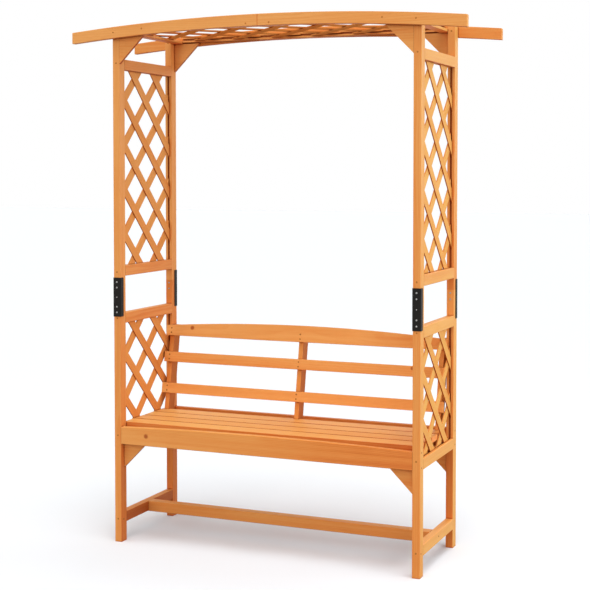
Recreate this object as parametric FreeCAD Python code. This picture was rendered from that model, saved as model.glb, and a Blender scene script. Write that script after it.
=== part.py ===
import FreeCAD, Part
import math
import os

# Garden arbour seat in softwood: two trellis-filled side frames, a slatted bench with a leaning
# back, and an arched trellis roof. X runs across the front, Y from front to back and Z up.
# The origin is on the ground, midway between the side frames and between their front and back
# posts. Millimetres and degrees.

# Side frames
frame_width = 1200.0            # outer faces of the left and right posts
frame_depth = 446.0             # front of the front posts to rear of the back posts
post_width = 28.0               # along X, also the thickness of the side rails
post_depth = 39.0               # along Y
rail_height = 39.0
foot_rail_bottom = 70.0
seat_rail_drop = 80.0           # from the seat's top to the lower edge of the seat rails
lower_panel_drop = 100.0        # from the brackets' centre to the top of the lower trellis panels
upper_panel_rise = 117.0        # from the brackets' centre to the foot of the upper trellis panels
upper_panel_drop = 176.6        # from the beams' crown to the top of the upper trellis panels
arris = 1.2                     # planed-off corners of the timber

# Two-part posts, joined by a half lap inside a steel bracket
bracket_centre = 925.0
lap_rise = 35.0                 # of the shoulder on the inner face, above the bracket's centre
lap_length = 60.0
bracket_length = 146.0
bracket_plate = 2.0
bracket_flange = 20.5           # depth of the post that the side plates cover
bracket_bend = 3.0              # outer radius of the folds
bracket_corner = 4.0            # rounded free corners of the side plates
bracket_screw_near = 36.0       # two pairs of screws, at these steps from the bracket's centre
bracket_screw_far = 57.0
bracket_screw_length = 16.0
screw_shank = 2.2               # radius
screw_head = 3.7                # radius
screw_head_height = 1.9
shank_sides = 8                 # shanks and their holes have flats, to keep hidden faces few
lap_bolt_rise = 23.0            # of the upper bolt, above the one at the bracket's centre
lap_bolt_shank = 2.6            # radius

# Trellis, two crossed layers of thin slats let into grooves
trellis_slat_width = 33.2
trellis_slat_thickness = 4.0
trellis_pitch = 168.0           # crossing to crossing, along Y and along Z
trellis_shortest = 40.0         # shorter corner offcuts are left out
groove_depth = 8.0
groove_play = 0.2               # on each side of the trellis
groove_end_play = 0.5

# Stretcher between the foot rails
stretcher_width = 38.0
stretcher_height = 39.0

# Seat
seat_height = 450.0
seat_slat_count = 4
seat_slat_width = 72.5
seat_slat_gap = 6.0
seat_slat_thickness = 20.0
seat_front_play = 0.3           # from the rear of the front posts
seat_end_play = 1.0             # from the inner face of the trellis
bearer_width = 28.0
bearer_height = 39.0
apron_thickness = 21.0
apron_drop = 78.0               # from the seat's top to the lower edge of the aprons
front_apron_height = 64.5       # at its ends
front_apron_crown = 9.5         # rise of its top edge at the middle
back_apron_height = 72.0

# Back rest, leaning on three uprights
lean = 10.2                     # degrees
back_front_y = 112.0            # front of the uprights at seat height
upright_width = 18.0
upright_depth = 47.0
upright_side_play = 2.5         # from the inner face of the posts
upright_top_drop = 3.0          # below the ends of the top back rail
notch_play = 1.0                # round the uprights in the rear seat slat
back_rail_thickness = 15.5
back_rail_height = 40.0
back_rail_end_gap = 19.5        # from the outer faces of the posts
low_back_rail_up = 64.5         # lower edges, along the slope from the seat
mid_back_rail_up = 188.0
top_back_rail_up = 293.0
top_back_rail_crown = 23.4

# Roof
beam_crown = 1951.6             # highest point
beam_radius = 7980.0            # of the arched top edge
beam_depth = 42.0
beam_thickness = 20.0
beam_overhang = 163.0           # beyond the outer faces of the posts
beam_end_radius = 3.0
post_top_drop = 4.0             # below the top edge of the beam
batten_size = 20.0              # square battens along the inside of the beams
roof_strip_width = 39.0
roof_strip_thickness = 11.0
roof_trellis_lift = 7.0         # underside above the lowest line of the beams at the crown
gusset_leg = 111.0
gusset_thickness = 12.0

# Places that follow from the sizes
post_outer = frame_width / 2
post_inner = post_outer - post_width
post_middle = post_outer - post_width / 2
frame_front = -frame_depth / 2
post_rear = frame_front + post_depth
post_half = post_depth / 2
apron_rear = frame_front + apron_thickness
groove_half = trellis_slat_thickness + groove_play
bearer_top = seat_height - seat_slat_thickness
bearer_bottom = bearer_top - bearer_height
upright_middle = post_inner - upright_side_play - upright_width / 2
back_rail_end = post_outer - back_rail_end_gap
lean_rise = math.cos(math.radians(lean))
lean_run = math.sin(math.radians(lean))
lean_slope = math.tan(math.radians(lean))
beam_end = post_outer + beam_overhang
beam_centre = beam_crown - beam_radius
beam_low_crown = beam_crown - beam_depth
roof_trellis_bottom = beam_low_crown + roof_trellis_lift
roof_strip_bottom = roof_trellis_bottom - roof_strip_thickness
roof_strip_inner = post_inner - roof_strip_width
roof_trellis_middle = roof_trellis_bottom + trellis_slat_thickness
batten_bottom = beam_low_crown
batten_rear = frame_front + batten_size
lap_top = bracket_centre + lap_rise
seat_rail_bottom = seat_height - seat_rail_drop
apron_bottom = seat_height - apron_drop
# lower and upper edge of each trellis panel
lower_panel = (seat_rail_bottom + rail_height, bracket_centre - lower_panel_drop)
upper_panel = (bracket_centre + upper_panel_rise, beam_crown - upper_panel_drop)

nearly_parallel = 0.001         # sine of the angle between two directions
origin = FreeCAD.Vector(0, 0, 0)
across = FreeCAD.Vector(1, 0, 0)
backward = FreeCAD.Vector(0, 1, 0)
upward = FreeCAD.Vector(0, 0, 1)


def box(x0, x1, y0, y1, z0, z1):
    return Part.makeBox(x1 - x0, y1 - y0, z1 - z0, FreeCAD.Vector(x0, y0, z0))


def timber(x0, x1, y0, y1, z0, z1, grain):
    """A planed board with its four long corners taken off."""
    board = box(x0, x1, y0, y1, z0, z1)
    return board.makeChamfer(arris, long_edges(board, grain))


def long_edges(board, grain):
    chosen = []
    for edge in board.Edges:
        if edge.Curve.TypeId != "Part::GeomLine":
            continue
        along = edge.Vertexes[1].Point - edge.Vertexes[0].Point
        if along.normalize().cross(grain).Length < nearly_parallel:
            chosen.append(edge)
    return chosen


def prism(points, sweep):
    """A closed outline of straight sides, pushed along a vector."""
    outline = [FreeCAD.Vector(*point) for point in points]
    wire = Part.makePolygon(outline + outline[:1])
    return Part.Face(wire).extrude(sweep)


def shank(radius, y0, y1, z):
    """A screw's shank on the middle of the post, or the hole for it, from y0 to y1."""
    outline = []
    for side in range(shank_sides):
        angle = 2 * math.pi * side / shank_sides
        outline.append((post_middle + radius * math.cos(angle), y0, z + radius * math.sin(angle)))
    return prism(outline, FreeCAD.Vector(0, y1 - y0, 0))


def mirrored_x(shape):
    return shape.mirror(origin, across)


def mirrored_y(shape):
    return shape.mirror(origin, backward)


def save(name, *solids):
    for solid in solids:
        if not solid.isValid() or solid.Volume <= 0:
            raise ValueError(name + " has a faulty solid")
    if len(solids) == 1:
        shape = solids[0]
    else:
        shape = Part.makeCompound(list(solids))
    shape.exportStep(os.path.join("parts", name + ".step"))


def beam_top_at(x):
    return beam_centre + math.sqrt(beam_radius ** 2 - x ** 2)


def corners(shape):
    """The shape of the right front corner, repeated at the four corners."""
    return {
        "right_front": shape,
        "left_front": mirrored_x(shape),
        "right_back": mirrored_y(shape),
        "left_back": mirrored_x(mirrored_y(shape)),
    }


# Posts, brackets and their fixings are drawn at the right front corner

def bracket_screw_heights():
    steps = (bracket_screw_far, bracket_screw_near, -bracket_screw_near, -bracket_screw_far)
    return [bracket_centre + step for step in steps]


def lap_bolt_heights():
    return [bracket_centre, bracket_centre + lap_bolt_rise]


def fixing_holes():
    """The holes that the bracket screws and the lap bolts pass through."""
    screws = [bracket_screw_shank(z) for z in bracket_screw_heights()]
    bolts = [lap_bolt_shank_at(z) for z in lap_bolt_heights()]
    return Part.makeCompound(screws + bolts)


def bracket_screw_shank(z):
    return shank(screw_shank, frame_front - bracket_plate, frame_front + bracket_screw_length, z)


def lap_bolt_shank_at(z):
    """A bolt at the bracket's centre comes out through the plate, others end at the post's face."""
    reach = bracket_plate if z == bracket_centre else 0.0
    return shank(lap_bolt_shank, frame_front - reach, post_rear, z)


def groove_in_post(panel):
    low, high = panel
    return box(post_middle - groove_half, post_middle + groove_half,
               post_rear - groove_depth, post_rear + arris,
               low - groove_depth, high + groove_depth)


def whole_post(z0, z1):
    return timber(post_inner, post_outer, frame_front, post_rear, z0, z1, upward)


def lower_post():
    post = whole_post(0, lap_top)
    lap_bottom = lap_top - lap_length
    post = post.cut(box(post_inner, post_outer, frame_front, frame_front + post_half, lap_bottom, lap_top))
    post = post.cut(groove_in_post(lower_panel))
    return post.cut(fixing_holes())


def upper_post():
    lap_bottom = lap_top - lap_length
    post = whole_post(lap_bottom, beam_top_at(post_outer) - post_top_drop)
    post = post.cut(box(post_inner, post_outer, frame_front + post_half, post_rear, lap_bottom, lap_top))
    post = post.cut(groove_in_post(upper_panel))
    return post.cut(fixing_holes())


def bracket():
    """A folded channel: the web lies on the post's face and the side plates reach round it."""
    low = bracket_centre - bracket_length / 2
    high = bracket_centre + bracket_length / 2
    web = frame_front - bracket_plate
    flange_end = frame_front + bracket_flange
    outside = box(post_inner - bracket_plate, post_outer + bracket_plate, web, flange_end, low, high)
    folds = [edge for edge in long_edges(outside, upward) if edge.Vertexes[0].Y < frame_front]
    outside = outside.makeFillet(bracket_bend, folds)
    corners_at_end = [edge for edge in long_edges(outside, across) if edge.Vertexes[0].Y > frame_front]
    outside = outside.makeFillet(bracket_corner, corners_at_end)
    channel = outside.cut(box(post_inner, post_outer, frame_front, flange_end, low, high))
    return channel.cut(fixing_holes())


def bracket_screw(z):
    seat = FreeCAD.Vector(post_middle, frame_front - bracket_plate, z)
    return bracket_screw_shank(z).fuse(pan_head(seat, -backward)).removeSplitter()


def lap_bolt(z):
    seat = FreeCAD.Vector(post_middle, post_rear, z)
    return lap_bolt_shank_at(z).fuse(pan_head(seat, backward)).removeSplitter()


def pan_head(seat, outward):
    """A screw head that narrows a little towards its top."""
    return Part.makeCone(screw_head, screw_head - screw_head_height / 2, screw_head_height, seat, outward)


# Side frames: rails and trellis, drawn on the right

def side_rail(bottom, groove_above, groove_below):
    top = bottom + rail_height
    rail = timber(post_inner, post_outer, post_rear, -post_rear, bottom, top, backward)
    x0 = post_middle - groove_half
    x1 = post_middle + groove_half
    if groove_above:
        rail = rail.cut(box(x0, x1, post_rear, -post_rear, top - groove_depth, top))
    if groove_below:
        rail = rail.cut(box(x0, x1, post_rear, -post_rear, bottom, bottom + groove_depth))
    return rail


def crossed_lines(half_length, half_height):
    """Offsets of the diagonal slats: an open diamond lies at the middle of the panel."""
    reach = half_length + half_height - trellis_shortest / math.sqrt(2)
    count = int(reach / trellis_pitch) + 2
    offsets = [(k + 0.5) * trellis_pitch for k in range(-count, count)]
    return [offset for offset in offsets if abs(offset) < reach]


def trellis(half_length, half_height):
    """Two crossed layers in the YZ plane round the origin, the falling slats on the +X side."""
    long_enough = 2 * (half_length + half_height)
    slats = []
    for layer, rise in ((0, -1), (-trellis_slat_thickness, 1)):
        sheet = box(layer, layer + trellis_slat_thickness, -half_length, half_length, -half_height, half_height)
        for offset in crossed_lines(half_length, half_height):
            strip = box(layer, layer + trellis_slat_thickness, -long_enough, long_enough,
                        -trellis_slat_width / 2, trellis_slat_width / 2)
            strip.rotate(origin, across, 45 * rise)
            strip.translate(FreeCAD.Vector(0, 0, offset))
            slats.extend(sheet.common(strip).Solids)
    return slats


def side_trellis(side, panel):
    low, high = panel
    half_length = -post_rear + groove_depth - groove_end_play
    half_height = (high - low) / 2 + groove_depth - groove_end_play
    place = FreeCAD.Vector(side * post_middle, 0, (low + high) / 2)
    slats = trellis(half_length, half_height)
    for slat in slats:
        slat.translate(place)
    return slats


# Seat

def front_apron():
    """Its top edge rises in a shallow arch towards the middle."""
    top = apron_bottom + front_apron_height
    crown = top + front_apron_crown
    face = crowned_face(post_inner, apron_bottom, top, crown, frame_front)
    board = face.extrude(FreeCAD.Vector(0, apron_thickness, 0))
    return eased(board)


def crowned_face(half_length, bottom, top, crown, y):
    """An upright face with a straight lower edge, upright ends and an arched upper edge."""
    low_left = FreeCAD.Vector(-half_length, y, bottom)
    low_right = FreeCAD.Vector(half_length, y, bottom)
    high_right = FreeCAD.Vector(half_length, y, top)
    high_left = FreeCAD.Vector(-half_length, y, top)
    middle = FreeCAD.Vector(0, y, crown)
    edges = [
        Part.LineSegment(low_left, low_right).toShape(),
        Part.LineSegment(low_right, high_right).toShape(),
        Part.Arc(high_right, middle, high_left).toShape(),
        Part.LineSegment(high_left, low_left).toShape(),
    ]
    return Part.Face(Part.Wire(edges))


def eased(board):
    """The long edges of a board that runs across the front, straight or arched."""
    chosen = []
    for edge in board.Edges:
        along = edge.Vertexes[1].Point - edge.Vertexes[0].Point
        if abs(along.x) > along.Length / 2:
            chosen.append(edge)
    return board.makeChamfer(arris, chosen)


def back_apron():
    return timber(-post_inner, post_inner, -apron_rear, -frame_front,
                  apron_bottom, apron_bottom + back_apron_height, across)


def seat_slat(number):
    end = post_middle - trellis_slat_thickness - seat_end_play
    front = post_rear + seat_front_play + number * (seat_slat_width + seat_slat_gap)
    slat = timber(-end, end, front, front + seat_slat_width, bearer_top, seat_height, across)
    if number == seat_slat_count - 1:
        slat = slat.cut(Part.makeCompound([upright(x, notch_play) for x in upright_places()]))
    return slat


def upright_places():
    return (-upright_middle, 0.0, upright_middle)


def seat_bearer(inner_side):
    """It stands against the side of an upright and carries the slats; inner_side is its near face."""
    return timber(inner_side, inner_side + bearer_width, apron_rear, -apron_rear,
                  bearer_bottom, bearer_top, backward)


# Back rest

def upright(middle, play):
    """A leaning board on edge, cut level at both ends; play widens it for the notches."""
    def front_at(z):
        return back_front_y + lean_slope * (z - seat_height) - play
    low = bearer_bottom
    high = upright_top()
    depth = upright_depth / lean_rise + 2 * play
    x = middle - upright_width / 2 - play
    outline = [(x, front_at(low), low), (x, front_at(low) + depth, low),
               (x, front_at(high) + depth, high), (x, front_at(high), high)]
    return prism(outline, FreeCAD.Vector(upright_width + 2 * play, 0, 0))


def upright_top():
    rail_ends = seat_height + (top_back_rail_up + back_rail_height) * lean_rise
    return rail_ends + back_rail_thickness * lean_run - upright_top_drop


def leaned(shape):
    """Turns a part drawn upright at the front of the uprights to their slope."""
    pivot = FreeCAD.Vector(0, back_front_y, seat_height)
    return shape.rotated(pivot, across, -lean)


def back_rail(up):
    bottom = seat_height + up
    board = timber(-back_rail_end, back_rail_end, back_front_y - back_rail_thickness, back_front_y,
                   bottom, bottom + back_rail_height, across)
    return leaned(board)


def top_back_rail():
    bottom = seat_height + top_back_rail_up
    top = bottom + back_rail_height
    face = crowned_face(back_rail_end, bottom, top, top + top_back_rail_crown,
                        back_front_y - back_rail_thickness)
    board = face.extrude(FreeCAD.Vector(0, back_rail_thickness, 0))
    return leaned(eased(board))


# Roof

def right_beam():
    """Half of the arched front beam, from the seam at the middle to its plumb end."""
    y = frame_front - beam_thickness
    low_radius = beam_radius - beam_depth

    def arc(radius):
        start = FreeCAD.Vector(0, y, beam_centre + radius)
        half = beam_end / 2
        middle = FreeCAD.Vector(half, y, beam_centre + math.sqrt(radius ** 2 - half ** 2))
        end = FreeCAD.Vector(beam_end, y, beam_centre + math.sqrt(radius ** 2 - beam_end ** 2))
        return start, end, Part.Arc(start, middle, end).toShape()

    top_start, top_end, top_arc = arc(beam_radius)
    low_start, low_end, low_arc = arc(low_radius)
    edges = [low_arc, Part.LineSegment(low_end, top_end).toShape(), top_arc,
             Part.LineSegment(top_start, low_start).toShape()]
    face = Part.Face(Part.Wire(Part.__sortEdges__(edges)))
    beam = face.extrude(FreeCAD.Vector(0, beam_thickness, 0))
    ends = [edge for edge in long_edges(beam, backward) if edge.Vertexes[0].X > beam_end / 2]
    beam = beam.makeFillet(beam_end_radius, ends)
    return eased(beam)


def roof_strip():
    """It lies flat across the right end of the roof, from beam to beam, and carries the trellis."""
    return timber(roof_strip_inner, post_inner, frame_front, -frame_front,
                  roof_strip_bottom, roof_trellis_bottom, backward)


def front_batten():
    """A square batten along the inside of the front beam, grooved for the edge of the trellis."""
    batten = timber(-roof_strip_inner, roof_strip_inner, frame_front, batten_rear,
                    batten_bottom, batten_bottom + batten_size, across)
    groove = box(-roof_strip_inner, roof_strip_inner, batten_rear - groove_depth, batten_rear,
                 roof_trellis_middle - groove_half, roof_trellis_middle + groove_half)
    return batten.cut(groove)


def roof_trellis():
    """The same trellis laid flat, its ends on the roof strips and its edges in the battens."""
    half_length = -batten_rear + groove_depth - groove_end_play
    slats = trellis(half_length, post_inner - groove_end_play)
    for slat in slats:
        slat.rotate(origin, backward, 90)
        slat.translate(FreeCAD.Vector(0, 0, roof_trellis_middle))
    return slats


def gusset(front, top):
    """A triangular corner block at the right, its square corner at the post's inner face."""
    outline = [(post_inner, front, top), (post_inner - gusset_leg, front, top),
               (post_inner, front, top - gusset_leg)]
    return prism(outline, FreeCAD.Vector(0, gusset_thickness, 0))


os.makedirs("parts", exist_ok=True)

for corner, shape in corners(lower_post()).items():
    save(corner + "_lower_post", shape)
for corner, shape in corners(upper_post()).items():
    save(corner + "_upper_post", shape)
for corner, shape in corners(bracket()).items():
    save(corner + "_bracket", shape)

bracket_screws = []
for height in bracket_screw_heights():
    bracket_screws.extend(corners(bracket_screw(height)).values())
save("bracket_screws", *bracket_screws)
lap_bolts = []
for height in lap_bolt_heights():
    lap_bolts.extend(corners(lap_bolt(height)).values())
save("lap_bolts", *lap_bolts)

side_rails = {
    "foot_rail": side_rail(foot_rail_bottom, False, False),
    "seat_rail": side_rail(seat_rail_bottom, True, False),
    "lower_panel_rail": side_rail(lower_panel[1], False, True),
    "upper_panel_rail": side_rail(upper_panel[0] - rail_height, True, False),
    "top_rail": side_rail(upper_panel[1], False, True),
}
for name, rail in side_rails.items():
    save("right_" + name, rail)
    save("left_" + name, mirrored_x(rail))
for name, panel in (("lower", lower_panel), ("upper", upper_panel)):
    save("right_" + name + "_trellis", *side_trellis(1, panel))
    save("left_" + name + "_trellis", *side_trellis(-1, panel))

save("foot_stretcher", timber(-post_inner, post_inner, -stretcher_width / 2, stretcher_width / 2,
                              foot_rail_bottom, foot_rail_bottom + stretcher_height, across))
save("front_apron", front_apron())
save("back_apron", back_apron())
for number in range(seat_slat_count):
    save("seat_slat_" + str(number + 1), seat_slat(number))
side_bearer = seat_bearer(upright_middle - upright_width / 2 - bearer_width)
save("right_seat_bearer", side_bearer)
save("left_seat_bearer", mirrored_x(side_bearer))
save("middle_seat_bearer", seat_bearer(upright_width / 2))
seat_gusset = gusset(apron_rear, bearer_bottom)
save("seat_gussets", *corners(seat_gusset).values())

for name, place in zip(("left", "middle", "right"), upright_places()):
    save(name + "_back_upright", upright(place, 0.0))
save("lower_back_rail", back_rail(low_back_rail_up))
save("middle_back_rail", back_rail(mid_back_rail_up))
save("top_back_rail", top_back_rail())

for corner, shape in corners(right_beam()).items():
    save(corner + "_beam", shape)
save("front_roof_batten", front_batten())
save("back_roof_batten", mirrored_y(front_batten()))
save("right_roof_strip", roof_strip())
save("left_roof_strip", mirrored_x(roof_strip()))
save("roof_trellis", *roof_trellis())
for corner, shape in corners(gusset(frame_front, roof_strip_bottom)).items():
    save(corner + "_roof_gusset", shape)
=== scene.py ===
import math
import random

import bmesh
import bpy
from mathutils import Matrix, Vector


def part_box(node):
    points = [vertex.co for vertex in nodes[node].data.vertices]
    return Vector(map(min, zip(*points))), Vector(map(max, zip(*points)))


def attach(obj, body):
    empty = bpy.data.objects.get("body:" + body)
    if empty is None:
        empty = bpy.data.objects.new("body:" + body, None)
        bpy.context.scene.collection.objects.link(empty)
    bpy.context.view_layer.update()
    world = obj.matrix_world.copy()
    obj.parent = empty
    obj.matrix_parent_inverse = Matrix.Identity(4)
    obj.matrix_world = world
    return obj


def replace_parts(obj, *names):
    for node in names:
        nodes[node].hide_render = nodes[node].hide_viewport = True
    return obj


# Looks of the garden arbour seat: stained softwood, black steel brackets, screw heads, floor,
# light and camera. Metres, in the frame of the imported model.

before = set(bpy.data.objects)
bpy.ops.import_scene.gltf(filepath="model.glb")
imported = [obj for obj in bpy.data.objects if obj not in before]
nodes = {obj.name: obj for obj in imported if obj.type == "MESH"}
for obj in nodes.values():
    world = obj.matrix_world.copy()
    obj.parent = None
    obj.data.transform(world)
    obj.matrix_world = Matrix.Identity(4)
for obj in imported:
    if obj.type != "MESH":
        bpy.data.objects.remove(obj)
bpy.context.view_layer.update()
chance = random.Random(41)

# Sizes repeated from the part's source
post_width = 0.028
post_depth = 0.039
post_outer = 0.600
post_inner = post_outer - post_width
post_middle = post_outer - post_width / 2
frame_front = -0.223
post_rear = frame_front + post_depth
bracket_plate = 0.002
bracket_centre = 0.925
bracket_screw_steps = (0.036, 0.057)
lap_bolt_rise = 0.023
trellis_pitch = 0.168
seat_height = 0.450
lean = math.radians(10.2)
back_front_y = 0.112
back_rail_thickness = 0.0155
beam_thickness = 0.020

ALONG_X = Vector((1, 0, 0))
ALONG_Y = Vector((0, 1, 0))
ALONG_Z = Vector((0, 0, 1))
LEANING = Vector((0, math.sin(lean), math.cos(lean)))


# Node trees

class Tree:
    """Adds and links shader nodes. A value that is a socket is linked, any other is set."""

    def __init__(self, tree):
        self.tree = tree

    def add(self, kind, inputs=None, **settings):
        node = self.tree.nodes.new("ShaderNode" + kind)
        for name, value in settings.items():
            setattr(node, name, value)
        for key, value in (inputs or {}).items():
            self.feed(node.inputs[key], value)
        return node

    def feed(self, socket, value):
        if isinstance(value, bpy.types.NodeSocket):
            self.tree.links.new(value, socket)
        else:
            socket.default_value = value

    def maths(self, operation, first, second=0.0, third=0.0):
        inputs = {0: first, 1: second, 2: third}
        return self.add("Math", inputs, operation=operation).outputs[0]

    def vector(self, operation, first, second=(0, 0, 0)):
        node = self.add("VectorMath", {0: first, 1: second}, operation=operation)
        scalar = operation in ("DOT_PRODUCT", "LENGTH", "DISTANCE")
        return node.outputs["Value" if scalar else "Vector"]

    def scaled(self, vector, factors):
        return self.vector("MULTIPLY", vector, factors)

    def along(self, vector, axis):
        """How far a vector points along an axis."""
        return self.vector("DOT_PRODUCT", vector, axis)

    def apart(self, vector):
        """The X, Y and Z of a vector."""
        return self.add("SeparateXYZ", {0: vector}).outputs

    def place(self):
        """Where a point of the surface lies in the model."""
        return self.add("TexCoord").outputs["Object"]

    def normal(self):
        return self.add("NewGeometry").outputs["True Normal"]

    def noise(self, vector, scale, detail=2.0, rough=0.5):
        inputs = {"Vector": vector, "Scale": scale, "Detail": detail, "Roughness": rough}
        return self.add("TexNoise", inputs).outputs["Fac"]

    def spread(self, value, low, high, to_low=0.0, to_high=1.0):
        """A smooth step from low to high, put on another range."""
        inputs = {"Value": value, "From Min": low, "From Max": high,
                  "To Min": to_low, "To Max": to_high}
        return self.add("MapRange", inputs, interpolation_type="SMOOTHSTEP").outputs[0]

    def choice(self, share, first, second):
        """One of two numbers, or a mix of them."""
        return self.add("Mix", {0: share, 2: first, 3: second}, data_type="FLOAT").outputs[0]

    def mixed(self, share, first, second, blend="MIX"):
        """One of two colours, or a mix of them."""
        inputs = {0: share, 6: first, 7: second}
        return self.add("Mix", inputs, data_type="RGBA", blend_type=blend).outputs[2]

    def ramp(self, value, stops):
        node = self.add("ValToRGB", {"Fac": value})
        elements = node.color_ramp.elements
        while len(elements) < len(stops):
            elements.new(0.5)
        for element, (place, colour) in zip(elements, stops):
            element.position = place
            element.color = colour
        return node.outputs["Color"]


def srgb(red, green, blue):
    """A screen colour, 0 to 255, as linear light."""
    def linear(level):
        level /= 255
        return level / 12.92 if level <= 0.04045 else ((level + 0.055) / 1.055) ** 2.4
    return (linear(red), linear(green), linear(blue), 1.0)


def new_material(name):
    material = bpy.data.materials.new(name)
    material.use_nodes = True
    material.node_tree.nodes.clear()
    return material, Tree(material.node_tree)


def surface(tree, inputs, height=None, relief=0.0):
    """The shader and the output. Where a height is given there is a bump, relief metres tall."""
    if height is not None:
        bump = tree.add("Bump", {"Height": height, "Distance": relief, "Strength": 1.0})
        inputs = dict(inputs, Normal=bump.outputs["Normal"])
    shader = tree.add("BsdfPrincipled", inputs)
    tree.add("OutputMaterial", {"Surface": shader.outputs[0]})


# Softwood: growth rings round a pith outside the board, fine fibres and a warm stain

STAIN_LIGHT = srgb(244, 176, 102)
STAIN_MIDDLE = srgb(236, 158, 84)
STAIN_DEEP = srgb(229, 136, 64)
STAIN_DARK = srgb(206, 100, 42)
STAIN_STOPS = [(0.0, STAIN_LIGHT), (0.38, STAIN_MIDDLE), (0.68, STAIN_DEEP), (1.0, STAIN_DARK)]
# Dark red brown of the painted shade in corners, grooves and shaded faces
CREVICE_SHADE_COLOUR = srgb(146, 44, 3)
KNOT_RIM = srgb(200, 112, 54)
KNOT_HEART = srgb(172, 88, 42)
# Painted light: lit faces paler and yellower, with the stain made lighter
PAINTED_LIGHT_TINT = (0.87, 1.0, 0.89, 1.0)
PAINTED_LIGHT_PALING = -0.10
RING_SPACING = 0.0046
RING_TAPER = 0.006
RING_WANDER = 0.022
RING_RIPPLE = 0.0016
GRAIN_RELIEF = 0.00035
# How far the painted shade in corners reaches and how dark it gets
CREVICE_REACH = 0.010
CREVICE_STRENGTH = 0.95
WOOD_IOR = 1.45
GLOSS = 0.14
FAINT_GLOSS = 0.04


def softwood_group():
    """Board coordinates in, x along the grain and y and z from the pith; colour and relief out."""
    group = bpy.data.node_groups.new("softwood", "ShaderNodeTree")
    for name, kind in (("Board", "Vector"), ("Tone", "Float"), ("StainAndShading", "Float")):
        group.interface.new_socket(name, in_out="INPUT", socket_type="NodeSocket" + kind)
    for name, kind in (("Colour", "Color"), ("Roughness", "Float"), ("Height", "Float")):
        group.interface.new_socket(name, in_out="OUTPUT", socket_type="NodeSocket" + kind)
    start = group.nodes.new("NodeGroupInput").outputs
    end = group.nodes.new("NodeGroupOutput").inputs
    tree = Tree(group)

    board = start["Board"]
    wander = tree.noise(tree.scaled(board, (1.6, 9, 9)), 1.0, 3.0)
    ripple = tree.noise(tree.scaled(board, (7, 60, 60)), 1.0, 2.0)
    from_pith = tree.vector("LENGTH", tree.scaled(board, (0, 1, 1)))
    taper = tree.maths("MULTIPLY", tree.apart(board)["X"], RING_TAPER)
    radius = tree.maths("ADD", from_pith, taper)
    radius = tree.maths("MULTIPLY_ADD", wander, RING_WANDER, radius)
    radius = tree.maths("MULTIPLY_ADD", ripple, RING_RIPPLE, radius)
    rings = tree.maths("FRACT", tree.maths("DIVIDE", radius, RING_SPACING))
    late_wood = tree.maths("MULTIPLY", tree.spread(rings, 0.25, 0.86), tree.spread(rings, 1.0, 0.93))

    streaks = tree.noise(tree.scaled(board, (1.3, 75, 75)), 1.0, 3.0, 0.6)
    fibres = tree.noise(tree.scaled(board, (14, 1500, 1500)), 1.0, 2.0, 0.7)
    clouds = tree.noise(tree.scaled(board, (3.1, 8, 8)), 1.0, 2.0)
    depth = tree.maths("MULTIPLY_ADD", late_wood, 0.11, start["Tone"])
    for pattern, weight in ((streaks, 0.55), (fibres, 0.50), (clouds, 0.35)):
        depth = tree.maths("MULTIPLY_ADD", tree.maths("SUBTRACT", pattern, 0.5), weight, depth)
    depth = tree.maths("ADD", start["StainAndShading"], depth)
    tree.feed(end["Colour"], tree.ramp(depth, STAIN_STOPS))

    shine = tree.noise(tree.scaled(board, (9, 110, 110)), 1.0, 2.0)
    tree.feed(end["Roughness"], tree.maths("MULTIPLY_ADD", shine, 0.22, 0.40))
    relief = tree.maths("MULTIPLY_ADD", fibres, 0.6, tree.maths("MULTIPLY", late_wood, 0.4))
    tree.feed(end["Height"], relief)
    return group


SOFTWOOD = softwood_group()


def wood_surface(tree, board, tone, stain_and_shading, painted_shade, painted_lit_share, knots, gloss):
    """Of the shares after tone, the first is how much darker than its board a place is: real stain,
    such as end grain or a joint, together with painted shade and painted light.

    The second is how much painted shade of a dark red brown lies on a face, beside the painted
    shade in corners, and the third is how much painted light makes a face paler and yellower.
    """
    # Painted light on lit faces: lighter stain and a paler, yellower tint
    stain_and_shading = tree.maths("MULTIPLY_ADD", painted_lit_share, PAINTED_LIGHT_PALING, stain_and_shading)
    wood = tree.add("Group", node_tree=SOFTWOOD)
    for name, value in (("Board", board), ("Tone", tone), ("StainAndShading", stain_and_shading)):
        tree.feed(wood.inputs[name], value)
    colour = wood.outputs["Colour"]
    for centre, radius in knots:
        colour = with_knot(tree, colour, centre, radius)
    colour = tree.mixed(painted_lit_share, colour, PAINTED_LIGHT_TINT, "MULTIPLY")
    # Painted shade in corners and grooves, and on the faces given it
    colour = with_painted_crevice_shade(tree, colour, painted_shade)
    inputs = {"Base Color": colour, "Roughness": wood.outputs["Roughness"], "IOR": WOOD_IOR,
              "Specular IOR Level": gloss}
    surface(tree, inputs, wood.outputs["Height"], GRAIN_RELIEF)


def with_knot(tree, colour, centre, radius):
    """A round dark knot with a paler rim, a little ragged."""
    place = tree.place()
    rag = tree.noise(place, 260.0, 2.0)
    away = tree.maths("SUBTRACT", tree.vector("DISTANCE", place, centre), radius * 0.25)
    away = tree.maths("MULTIPLY_ADD", rag, radius * 0.5, away)
    rim = tree.spread(away, radius * 1.5, radius * 0.9)
    heart = tree.spread(away, radius * 0.95, radius * 0.55)
    colour = tree.mixed(rim, colour, KNOT_RIM)
    return tree.mixed(heart, colour, KNOT_HEART)


def with_painted_crevice_shade(tree, colour, painted_shade):
    """Painted shade, a dark red brown: in corners where boards meet and in the grooves, from ambient
    occlusion, and on the faces given painted shade.
    """
    occlusion = tree.add("AmbientOcclusion", {"Distance": CREVICE_REACH}, samples=8)
    shade_in_corners = tree.spread(occlusion.outputs["AO"], 0.85, 0.35, 0.0, CREVICE_STRENGTH)
    return tree.mixed(tree.maths("MAXIMUM", shade_in_corners, painted_shade), colour, CREVICE_SHADE_COLOUR)


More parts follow.
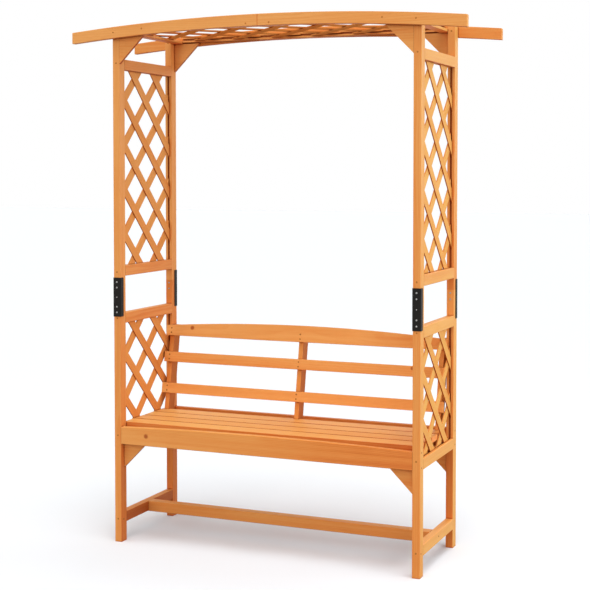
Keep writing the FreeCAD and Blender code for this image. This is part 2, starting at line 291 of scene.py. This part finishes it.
# Which faces are darker or paler than their board. End grain and the beams' joint are darker stain.
# The rest is painted: painted shade deepens the wood's colour, and in places turns it dark red brown,
# painted light makes lit faces paler and yellower, and a painted highlight makes planed-off corners
# paler.

END_GRAIN_STAIN = 0.14
# Painted highlight: planed-off corners paler
CORNER_PAINTED_HIGHLIGHT = -0.06
# Painted shade on the seat slats' sides, in the gaps
SLAT_SIDE_PAINTED_SHADE = 0.40
# Painted shade on faces that look down, less on the battens
UNDERSIDE_PAINTED_SHADE = 0.30
BATTEN_UNDERSIDE_PAINTED_SHADE = 0.10
BEAM_JOINT_STAIN = 0.9
# Painted shade under the seat
BELOW_SEAT_PAINTED_SHADE = 0.34
# Dark red brown painted shade: in the seat's gaps, on the uprights, under the beams, on lower corners
# and on the foot rails' inner faces
SLAT_PAINTED_SHADE = 0.65
FRONT_SLAT_PAINTED_SHADE = 0.20
UPRIGHT_FACE_PAINTED_SHADE = 0.10
UPRIGHT_SIDE_PAINTED_SHADE = 0.50
RIGHT_UPRIGHT_SIDE_PAINTED_SHADE = 0.25
BEAM_UNDERSIDE_PAINTED_SHADE = 0.35
LOWER_CORNER_PAINTED_SHADE = 0.60
FOOT_RAIL_PAINTED_SHADE = 0.55
# Painted light on faces that look up and on the side frames' outer faces
UPWARD_PAINTED_LIGHT = 0.65
RIGHT_PAINTED_LIGHT = 1.0
LEFT_PAINTED_LIGHT = 0.4

# Where two of them start and where they are full, in metres: heights, and distances from the joint
BELOW_SEAT_REACH = (0.42, 0.33)
BEAM_JOINT_REACH = (0.0018, 0.0006)


def underside(tree, normal, share):
    """share of painted shade on faces that look down."""
    return tree.spread(tree.apart(normal)["Z"], -0.2, -0.7, 0.0, share)


def facing_share(tree, normal, direction, share):
    """share on faces that look squarely in a direction."""
    return tree.spread(tree.along(normal, direction), 0.6, 0.9, 0.0, share)


def corner_share(tree, normal):
    """1 on the planed-off corners, which face between two axes, and 0 on the flat faces."""
    sizes = tree.apart(tree.vector("ABSOLUTE", normal))
    largest = tree.maths("MAXIMUM", sizes["X"], tree.maths("MAXIMUM", sizes["Y"], sizes["Z"]))
    return tree.spread(largest, 0.80, 0.72)


def across_share(tree, normal, axis, low, high, to_low=0.0, to_high=1.0):
    """Spreads how squarely a face looks along an axis, either way."""
    squarely = tree.maths("ABSOLUTE", tree.along(normal, axis))
    return tree.spread(squarely, low, high, to_low, to_high)


def outward_from(middle):
    """Away from the middle of the seat, for a board on the left or the right."""
    return ALONG_X * math.copysign(1, middle.x)


def painted_light_faces(tree, normal, middle):
    """Painted light: most on the right side frame's outer faces, less on the left one's and on faces
    that look up.
    """
    upward = facing_share(tree, normal, ALONG_Z, UPWARD_PAINTED_LIGHT)
    if abs(middle.x) < post_middle / 2:
        return upward
    share = RIGHT_PAINTED_LIGHT if middle.x > 0 else LEFT_PAINTED_LIGHT
    return tree.maths("MAXIMUM", upward, facing_share(tree, normal, outward_from(middle), share))


def below_seat(tree, normal, middle):
    """Painted shade under the seat, but not on the faces a post turns outward or a front post forward.
    """
    height = tree.apart(tree.place())["Z"]
    forward = -1 if middle.y < 0 else 0
    exposed = tree.along(normal, outward_from(middle) + ALONG_Y * forward)
    sheltered = tree.spread(exposed, 0.6, 0.2, 0.0, BELOW_SEAT_PAINTED_SHADE)
    return tree.maths("MULTIPLY", tree.spread(height, *BELOW_SEAT_REACH), sheltered)


def beam_joint(tree):
    """A thin dark line where two half beams meet, at X 0."""
    from_joint = tree.maths("ABSOLUTE", tree.apart(tree.place())["X"])
    return tree.spread(from_joint, *BEAM_JOINT_REACH, 0.0, BEAM_JOINT_STAIN)


# Boards

# How deep some boards are stained, and the palest slat of a trellis; the left foot rail is set deeper as
# painted shade and the back roof gussets paler as painted light
TONES = {
    "seat_slat_1": 0.30, "seat_slat_2": 0.38, "seat_slat_3": 0.28, "seat_slat_4": 0.34,
    "foot_stretcher": 0.48, "seat_gussets": 0.46, "front_apron": 0.50, "back_apron": 0.75,
    "left_front_beam": 0.26, "right_front_beam": 0.28,
    "top_back_rail": 0.30, "middle_back_rail": 0.38, "lower_back_rail": 0.36,
    "middle_back_upright": 0.40, "left_back_upright": 0.46,
    "left_front_upper_post": 0.30,
    "left_back_lower_post": 0.52, "left_back_upper_post": 0.32,
    "right_back_lower_post": 0.44, "right_back_upper_post": 0.52,
    "left_back_roof_gusset": 0.24, "right_back_roof_gusset": 0.24, "right_front_roof_gusset": 0.32,
    "left_foot_rail": 0.66, "left_lower_panel_rail": 0.54, "left_upper_panel_rail": 0.50,
    "left_upper_trellis": 0.22,
}
BOARD_TONE = 0.42
TONE_PLAY = 0.06
TRELLIS_TONE = 0.28

# How that changes along some of them, per metre from the middle; on the seat slats it is painted shade,
# darker towards the right end of the seat
TONE_AND_SHADE_SLOPES = {
    "front_apron": 0.42, "top_back_rail": 0.22,
    "left_back_lower_post": 0.26, "right_back_upper_post": -0.50,
    "seat_slat_1": 0.22, "seat_slat_2": 0.22, "seat_slat_3": 0.22, "seat_slat_4": 0.22,
}

KNOTS = {
    "top_back_rail": [((-0.4656, 0.1546, 0.7742), 0.0070)],
    "middle_back_rail": [((0.4568, 0.1355, 0.6680), 0.0060)],
    "front_apron": [((-0.4662, -0.2230, 0.4088), 0.0074)],
}

GRAIN = {
    "lower_post": ALONG_Z, "upper_post": ALONG_Z,
    "foot_rail": ALONG_Y, "seat_rail": ALONG_Y, "panel_rail": ALONG_Y, "top_rail": ALONG_Y,
    "seat_bearer": ALONG_Y, "roof_strip": ALONG_Y,
    "beam": ALONG_X, "stretcher": ALONG_X, "apron": ALONG_X, "seat_slat": ALONG_X,
    "back_rail": ALONG_X, "batten": ALONG_X,
    "back_upright": LEANING,
    "gusset": ALONG_X,
}


def board_place(tree, middle, grain):
    """Board coordinates at a place of its own in a log, with the pith outside the board."""
    turn = grain.rotation_difference(ALONG_X)
    pith_angle = chance.uniform(0, 2 * math.pi)
    pith_distance = chance.uniform(0.055, 0.14)
    along = chance.uniform(-9, 9)
    pith = Vector((along, pith_distance * math.cos(pith_angle), pith_distance * math.sin(pith_angle)))
    inputs = {"Vector": tree.place(), "Rotation": turn.to_euler(), "Location": pith - turn @ middle}
    return tree.add("Mapping", inputs, vector_type="POINT").outputs[0]


def board_stain_and_shading(tree, name, normal, middle, grain):
    """End grain and joints are darker stain; undersides, the seat slats' sides and the lower posts under
    the seat get painted shade, and planed-off corners a painted highlight.
    """
    stain_and_shading = across_share(tree, normal, grain, 0.80, 0.95, 0.0, END_GRAIN_STAIN)
    if "seat_slat" in name:
        # Painted shade on the seat slats' sides
        sides = across_share(tree, normal, ALONG_Y, 0.2, 0.6)
        stain_and_shading = tree.maths("MULTIPLY_ADD", sides, SLAT_SIDE_PAINTED_SHADE, stain_and_shading)
    else:
        # Painted highlight on the planed-off corners
        corners = corner_share(tree, normal)
        stain_and_shading = tree.maths("MULTIPLY_ADD", corners, CORNER_PAINTED_HIGHLIGHT, stain_and_shading)
    if "beam" in name:
        stain_and_shading = tree.maths("ADD", stain_and_shading, beam_joint(tree))
    # Painted shade on faces that look down
    below = BATTEN_UNDERSIDE_PAINTED_SHADE if "batten" in name else UNDERSIDE_PAINTED_SHADE
    stain_and_shading = tree.maths("ADD", stain_and_shading, underside(tree, normal, below))
    if name in TONE_AND_SHADE_SLOPES:
        along = tree.along(tree.vector("SUBTRACT", tree.place(), middle), grain)
        stain_and_shading = tree.maths("MULTIPLY_ADD", along, TONE_AND_SHADE_SLOPES[name], stain_and_shading)
    # Painted shade on the lower posts under the seat
    if name.endswith("lower_post"):
        stain_and_shading = tree.maths("ADD", stain_and_shading, below_seat(tree, normal, middle))
    return stain_and_shading


def board_painted_shade(tree, name, normal, middle):
    """Dark red brown painted shade: beside slats and uprights, under beams, on lower corners elsewhere
    and on the foot rails' inner faces.
    """
    if "seat_slat" in name:
        side = FRONT_SLAT_PAINTED_SHADE if name == "seat_slat_1" else SLAT_PAINTED_SHADE
        return across_share(tree, normal, ALONG_Y, 0.2, 0.6, 0.0, side)
    if "back_upright" in name:
        side = RIGHT_UPRIGHT_SIDE_PAINTED_SHADE if name.startswith("right") else UPRIGHT_SIDE_PAINTED_SHADE
        return across_share(tree, normal, ALONG_X, 0.5, 0.9, UPRIGHT_FACE_PAINTED_SHADE, side)
    if "beam" in name:
        return underside(tree, normal, BEAM_UNDERSIDE_PAINTED_SHADE)
    below = underside(tree, normal, LOWER_CORNER_PAINTED_SHADE)
    painted_shade = tree.maths("MULTIPLY", corner_share(tree, normal), below)
    if "foot_rail" in name:
        inward = facing_share(tree, normal, -outward_from(middle), FOOT_RAIL_PAINTED_SHADE)
        painted_shade = tree.maths("MAXIMUM", painted_shade, inward)
    return painted_shade


def board_material(name, grain):
    """Wood for one board, so that no two boards match."""
    material, tree = new_material("wood_" + name)
    low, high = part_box(name)
    middle = (low + high) / 2
    board = board_place(tree, middle, grain)
    tone = TONES.get(name, BOARD_TONE + chance.uniform(-TONE_PLAY, TONE_PLAY))
    normal = tree.normal()
    # Real stain with painted shade and light, then dark red brown painted shade, then painted light
    stain_and_shading = board_stain_and_shading(tree, name, normal, middle, grain)
    painted_shade = board_painted_shade(tree, name, normal, middle)
    painted_lit_share = painted_light_faces(tree, normal, middle)
    gloss = FAINT_GLOSS if "back_upright" in name else GLOSS
    wood_surface(tree, board, tone, stain_and_shading, painted_shade, painted_lit_share, KNOTS.get(name, ()), gloss)
    return material


# Trellis. A face within the margin of where the layers touch goes with the slat behind it, and
# the outer layer's slats are numbered on from the inner ones.

LAYER_MARGIN = 0.0005
OUTER_NUMBER = 37.0
SLAT_SHIFT = 11.0
PITH_DEPTH = 0.07
SLAT_TONE_PLAY = 0.18
# Painted shade on the slats' edges and undersides
SLAT_EDGE_PAINTED_SHADE = 0.20
SLAT_UNDERSIDE_PAINTED_SHADE = 0.24
SLAT_LOWER_EDGE_PAINTED_SHADE = 0.60


def trellis_material(name, middle, turn, outward, shade=1.0, gloss=FAINT_GLOSS):
    """Wood for a whole trellis panel: each slat gets its own grain and tone from its place.

    turn brings the panel's frame to X through the panel and Y and Z in its plane, and outward
    is the panel's X in the model. The layer on the outward side falls along Y, the other rises.
    shade scales the painted shade on the slats' edges and undersides.
    """
    material, tree = new_material("wood_" + name)
    place = tree.vector("SUBTRACT", tree.place(), middle)
    place = tree.add("Mapping", {"Vector": place, "Rotation": turn}, vector_type="POINT").outputs[0]
    panel = tree.apart(place)
    normal = tree.normal()
    facing = tree.along(normal, outward)
    side = tree.maths("MULTIPLY_ADD", facing, -LAYER_MARGIN, panel["X"])
    outer = tree.maths("GREATER_THAN", side, 0.0)

    rising = tree.maths("MULTIPLY", tree.maths("ADD", panel["Y"], panel["Z"]), math.sqrt(0.5))
    falling = tree.maths("MULTIPLY", tree.maths("SUBTRACT", panel["Y"], panel["Z"]), math.sqrt(0.5))
    along = tree.choice(outer, rising, falling)
    across = tree.choice(outer, falling, rising)
    number = tree.maths("FLOOR", tree.maths("DIVIDE", across, trellis_pitch * math.sqrt(0.5)))
    number = tree.maths("MULTIPLY_ADD", outer, OUTER_NUMBER, number)
    draw = tree.add("TexWhiteNoise", {"W": number}, noise_dimensions="1D").outputs
    along = tree.maths("MULTIPLY_ADD", draw["Value"], SLAT_SHIFT, along)
    depth = tree.maths("ADD", panel["X"], PITH_DEPTH)
    board = tree.add("CombineXYZ", {0: along, 1: across, 2: depth}).outputs[0]
    board = tree.vector("ADD", board, tree.scaled(draw["Color"], (0, 0.05, 0.05)))

    palest = TONES.get(name, TRELLIS_TONE)
    tone = tree.maths("MULTIPLY_ADD", draw["Value"], SLAT_TONE_PLAY, palest)
    # Painted shade: the slats' edges darker, dark red brown where they look down, undersides darker
    edges = tree.spread(tree.maths("ABSOLUTE", facing), 0.7, 0.3)
    lower = tree.spread(tree.apart(normal)["Z"], 0.5, -0.1, 0.0, SLAT_LOWER_EDGE_PAINTED_SHADE * shade)
    painted_shade = tree.maths("MULTIPLY", edges, lower)
    below = underside(tree, normal, SLAT_UNDERSIDE_PAINTED_SHADE * shade)
    stain_and_shading = tree.maths("MULTIPLY_ADD", edges, SLAT_EDGE_PAINTED_SHADE, below)
    wood_surface(tree, board, tone, stain_and_shading, painted_shade, painted_light_faces(tree, normal, middle), (), gloss)
    return material


def dress(name, material):
    slots = nodes[name].data.materials
    slots.clear()
    slots.append(material)


def dress_boards():
    for name in sorted(nodes):
        grains = [grain for ending, grain in GRAIN.items() if ending in name]
        if grains:
            dress(name, board_material(name, grains[0]))


def dress_trellis():
    for side in ("left", "right"):
        for level in ("lower", "upper"):
            name = side + "_" + level + "_trellis"
            low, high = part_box(name)
            dress(name, trellis_material(name, (low + high) / 2, (0, 0, 0), ALONG_X))
    low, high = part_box("roof_trellis")
    turn = (0, math.radians(-90), 0)
    roof = trellis_material("roof_trellis", (low + high) / 2, turn, -ALONG_Z, shade=0.4, gloss=0.0)
    dress("roof_trellis", roof)


# Steel

def black_steel():
    """Powder coat with a fine orange-peel skin."""
    material, tree = new_material("black_powder_coat")
    place = tree.place()
    skin = tree.noise(place, 900.0, 2.0)
    cloud = tree.noise(place, 40.0, 3.0)
    colour = tree.mixed(cloud, srgb(12, 11, 8), srgb(23, 20, 16))
    rough = tree.maths("MULTIPLY_ADD", cloud, 0.15, 0.50)
    surface(tree, {"Base Color": colour, "Roughness": rough, "Specular IOR Level": 0.15}, skin, 0.00012)
    return material


def plated_steel(name, light, dark, roughness):
    """Plating with faint scratches and a duller bloom."""
    material, tree = new_material(name)
    place = tree.place()
    bloom = tree.noise(place, 350.0, 3.0)
    scratches = tree.noise(tree.scaled(place, (2500, 400, 400)), 1.0, 2.0)
    colour = tree.mixed(tree.spread(bloom, 0.3, 0.75), light, dark)
    rough = tree.maths("MULTIPLY_ADD", bloom, 0.20, roughness)
    inputs = {"Base Color": colour, "Roughness": rough, "Metallic": 1.0}
    surface(tree, inputs, scratches, 0.00004)
    return material


def dress_brackets():
    steel = black_steel()
    for name in nodes:
        if name.endswith("_bracket"):
            dress(name, steel)


# Screw heads

HEAD_STEPS = 24


def head_template(radius, height, wall, recess):
    """Corners and faces of a screw head with a cross recess, seated on z = 0 and facing +Z."""
    mesh = bmesh.new()

    def ring(share, z):
        """A round of corners at a share of the head's radius."""
        corners = []
        for step in range(HEAD_STEPS):
            angle = 2 * math.pi * step / HEAD_STEPS
            x = radius * share * math.cos(angle)
            y = radius * share * math.sin(angle)
            corners.append(mesh.verts.new((x, y, z)))
        return corners

    def walls(lower, upper):
        """Faces between two rounds with as many corners."""
        for step in range(len(lower)):
            after = (step + 1) % len(lower)
            mesh.faces.new((lower[step], lower[after], upper[after], upper[step]))

    dome = height - wall
    rings = [ring(1.0, 0.0), ring(1.0, wall), ring(0.93, wall + dome * 0.45),
             ring(0.80, wall + dome * 0.82), ring(0.64, height)]
    for lower, upper in zip(rings, rings[1:]):
        walls(lower, upper)
    arm = radius * 0.13
    reach = radius * 0.46
    taper = 0.75
    cross = [(arm, reach), (arm, arm), (reach, arm), (reach, -arm), (arm, -arm), (arm, -reach),
             (-arm, -reach), (-arm, -arm), (-reach, -arm), (-reach, arm), (-arm, arm), (-arm, reach)]
    top = [mesh.verts.new((x, y, height)) for x, y in cross]
    floor = [mesh.verts.new((x * taper, y * taper, height - recess)) for x, y in cross]
    rim = rings[-1]
    edges = [mesh.edges.get((rim[step], rim[(step + 1) % HEAD_STEPS])) for step in range(HEAD_STEPS)]
    edges += [mesh.edges.new((top[k], top[(k + 1) % len(top)])) for k in range(len(top))]
    bmesh.ops.triangle_fill(mesh, use_beauty=True, edges=edges)
    walls(top, floor)
    mesh.faces.new(floor)
    bmesh.ops.recalc_face_normals(mesh, faces=mesh.faces)
    mesh.verts.index_update()
    corners = [tuple(v.co) for v in mesh.verts]
    faces = [tuple(v.index for v in f.verts) for f in mesh.faces]
    mesh.free()
    return corners, faces


def heads(name, template, places, material):
    """One piece with a head at each (seat, outward direction), each turned by chance."""
    corners, faces = template
    all_corners = []
    all_faces = []
    for seat, outward in places:
        turn = Vector(outward).to_track_quat("Z", "Y").to_matrix()
        spin = chance.uniform(0, math.pi / 2)
        first = len(all_corners)
        for x, y, z in corners:
            round_x = x * math.cos(spin) - y * math.sin(spin)
            round_y = x * math.sin(spin) + y * math.cos(spin)
            all_corners.append(Vector(seat) + turn @ Vector((round_x, round_y, z)))
        all_faces.extend(tuple(first + index for index in face) for face in faces)
    mesh = bpy.data.meshes.new(name)
    mesh.from_pydata(all_corners, [], all_faces)
    mesh.materials.append(material)
    piece = bpy.data.objects.new(name, mesh)
    bpy.context.scene.collection.objects.link(piece)
    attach(piece, "root")
    return piece


def bracket_fixings():
    """Domed screws on the bracket plates, and the bolts through the lapped posts with their ends."""
    silver = plated_steel("zinc_plate", srgb(186, 186, 182), srgb(128, 128, 124), 0.34)
    pan = head_template(0.0031, 0.0019, 0.0004, 0.0010)
    small = head_template(0.0018, 0.0006, 0.0003, 0.0003)
    screws = []
    bolts = []
    tips = []
    for x in (-post_middle, post_middle):
        for facing in (-1, 1):
            plate = facing * (bracket_plate - frame_front)
            for step in bracket_screw_steps:
                for z in (bracket_centre - step, bracket_centre + step):
                    screws.append(((x, plate, z), (0, facing, 0)))
            tips.append(((x, plate, bracket_centre), (0, facing, 0)))
            inner = facing * -post_rear
            for z in (bracket_centre, bracket_centre + lap_bolt_rise):
                bolts.append(((x, inner, z), (0, -facing, 0)))
    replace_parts(heads("bracket_screw_heads", pan, screws, silver), "bracket_screws")
    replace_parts(heads("lap_bolt_heads", pan, bolts, silver), "lap_bolts")
    heads("lap_bolt_tips", small, tips, silver)


def rail_screw_places():
    """One screw through the front or rear of a post into the end of each side rail."""
    places = []
    for side, x in (("left", -post_middle), ("right", post_middle)):
        for rail, rise in (("foot_rail", -0.0025), ("seat_rail", 0.0145), ("lower_panel_rail", 0.001),
                           ("upper_panel_rail", -0.0035), ("top_rail", 0.0035)):
            low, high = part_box(side + "_" + rail)
            z = (low.z + high.z) / 2 + rise
            places += [((x, frame_front, z), (0, -1, 0)), ((x, -frame_front, z), (0, 1, 0))]
    return places


def beam_screw_places():
    """Through the beams into the posts and the battens, and the ends that show inside the posts."""
    places = []
    for facing in (-1, 1):
        beam = facing * (beam_thickness - frame_front)
        for x, z in ((post_middle, 1.910), (0.466, 1.919), (0.045, 1.9195)):
            places += [((side * x, beam, z), (0, facing, 0)) for side in (-1, 1)]
        inner = facing * -post_rear
        places += [((side * post_middle, inner, 1.9085), (0, -facing, 0)) for side in (-1, 1)]
    return places


def side_screw_places():
    """On the outer faces: two into each end of the aprons, and one into each end of the stretcher.

    The front posts have one more at the foot rail, and one shows on the inside of the left post.
    """
    apron_ends = [(-0.2056, 0.4328), (-0.2056, 0.3803), (0.2066, 0.4345), (0.2066, 0.383)]
    stretcher_end = (0.0026, 0.091)
    front_foot = (-0.208, 0.084)
    places = []
    for side in (-1, 1):
        for y, z in apron_ends + [stretcher_end, front_foot]:
            places.append(((side * post_outer, y, z), (side, 0, 0)))
    places.append(((-post_inner, -0.206, 0.084), (1, 0, 0)))
    return places


def back_screw_places():
    """Two through each back rail into each leaning upright, at steps up from the rail's lower edge."""
    places = []
    pivot = Vector((0, back_front_y, seat_height))
    outward = Vector((0, -math.cos(lean), math.sin(lean)))
    for rail_up, steps in ((0.0645, (0.011, 0.029)), (0.188, (0.011, 0.029)), (0.293, (0.0115, 0.0295))):
        for x in (-0.558, 0.0, 0.558):
            for step in steps:
                seat = pivot + LEANING * (rail_up + step) + outward * back_rail_thickness
                places.append(((x, seat.y, seat.z), tuple(outward)))
    return places


def wood_screws():
    bronze = plated_steel("yellow_zinc", srgb(190, 122, 60), srgb(134, 78, 34), 0.44)
    flush = head_template(0.0033, 0.0006, 0.0002, 0.0005)
    places = rail_screw_places() + beam_screw_places() + side_screw_places() + back_screw_places()
    heads("wood_screw_heads", flush, places, bronze)


# Floor, light and camera

FLOOR_REACH = 40.0
FLOOR_SEEN = (0.82, 0.845, 0.87, 1)
FLOOR_BOUNCE = (0.28, 0.28, 0.28, 1)
WORLD_SEEN = 1.0
WORLD_LIGHT = 0.40


def seen_directly(tree):
    """1 for what the camera sees, also by reflection, and 0 for the light that falls on the object."""
    rays = tree.add("LightPath").outputs
    mirrored = tree.maths("MAXIMUM", rays["Is Glossy Ray"], rays["Is Transmission Ray"])
    return tree.maths("MAXIMUM", rays["Is Camera Ray"], mirrored)


def pale_floor():
    mesh = bpy.data.meshes.new("floor")
    corners = [(x * FLOOR_REACH, y * FLOOR_REACH, 0) for x, y in ((-1, -1), (1, -1), (1, 1), (-1, 1))]
    mesh.from_pydata(corners, [], [(0, 1, 2, 3)])
    material, tree = new_material("pale_floor")
    colour = tree.mixed(seen_directly(tree), FLOOR_BOUNCE, FLOOR_SEEN)
    surface(tree, {"Base Color": colour, "Roughness": 0.9, "Specular IOR Level": 0.0})
    mesh.materials.append(material)
    floor = bpy.data.objects.new("floor", mesh)
    bpy.context.scene.collection.objects.link(floor)


def studio_light():
    """A white room with broad lights all round, and a large panel on the right."""
    world = bpy.data.worlds.new("studio")
    world.use_nodes = True
    world.node_tree.nodes.clear()
    tree = Tree(world.node_tree)
    strength = tree.choice(seen_directly(tree), WORLD_LIGHT, WORLD_SEEN)
    glow = tree.add("Background", {"Color": (1, 1, 1, 1), "Strength": strength})
    tree.add("OutputWorld", {"Surface": glow.outputs[0]})
    bpy.context.scene.world = world
    sun("overhead", 1.42, 28, (0.15, -0.25, 1.0))
    sun("front", 0.93, 60, (0.2, -1.0, 0.35))
    sun("left", 1.1, 60, (-1.0, -0.5, 0.4))
    sun("back", 1.1, 60, (0.3, 1.0, 0.5))
    panel("right", 66.0, 2.6, (3.6, -0.1, 1.15), (0.6, 0.0, 1.0))


def sun(name, strength, angle, towards):
    """A sun of an angle in degrees, in the direction from the object towards it."""
    lamp = bpy.data.lights.new(name, "SUN")
    lamp.energy = strength
    lamp.angle = math.radians(angle)
    light = bpy.data.objects.new(name, lamp)
    light.rotation_euler = Vector(towards).to_track_quat("Z", "Y").to_euler()
    bpy.context.scene.collection.objects.link(light)


def panel(name, power, size, place, target):
    """A square light panel that the camera doesn't see."""
    lamp = bpy.data.lights.new(name, "AREA")
    lamp.energy = power
    lamp.size = size
    light = bpy.data.objects.new(name, lamp)
    light.location = place
    light.rotation_euler = (Vector(place) - Vector(target)).to_track_quat("Z", "Y").to_euler()
    light.visible_camera = False
    bpy.context.scene.collection.objects.link(light)


def camera():
    """The photo's view, tilted down a little to spare a larger shift."""
    tilt = 2.239
    turn = 22.911
    data = bpy.data.cameras.new("camera")
    data.sensor_width = 36.0
    data.lens = 80.317
    data.shift_y = -0.12
    view = bpy.data.objects.new("camera", data)
    view.location = (1.9412, -4.4917, 1.3906)
    view.rotation_euler = (math.radians(90 - tilt), 0, math.radians(turn))
    bpy.context.scene.collection.objects.link(view)
    bpy.context.scene.camera = view


dress_boards()
dress_trellis()
dress_brackets()
bracket_fixings()
wood_screws()
pale_floor()
studio_light()
camera()
bpy.context.scene.view_settings.view_transform = "Standard"
